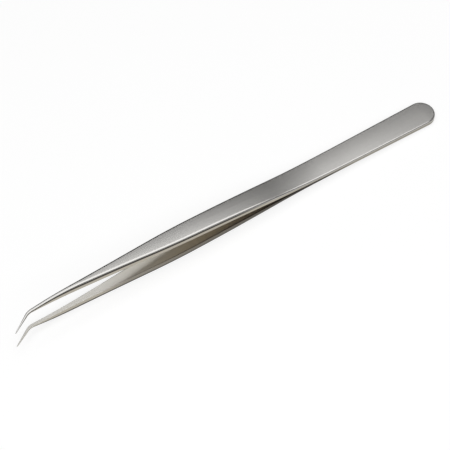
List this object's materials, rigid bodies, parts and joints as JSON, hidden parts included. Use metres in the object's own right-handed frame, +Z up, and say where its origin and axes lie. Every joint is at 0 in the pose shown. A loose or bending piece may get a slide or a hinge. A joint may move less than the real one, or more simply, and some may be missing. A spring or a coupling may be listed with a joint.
{
  "type": "inspection tweezers",
  "caption": "Long slim steel inspection tweezers: flat arms joined at a rounded heel, fine points bent to one side, lying at rest with the arms open.",
  "frame": {"origin": "on the ground, under the middle of the bounding box of the pair as it lies at rest", "axes": "+X along the length toward the heel, so the points lie toward -X; +Y across the broad faces, away from the side the points bend to; +Z up"},
  "size_m": [0.14, 0.008, 0.0109],
  "materials": {
    "steel": "fine lengthwise satin on the broad faces, polished long edges"
  },
  "bodies": {
    "root": {"upper_arm": "steel", "lower_arm": "steel"}
  },
  "joints": []
}
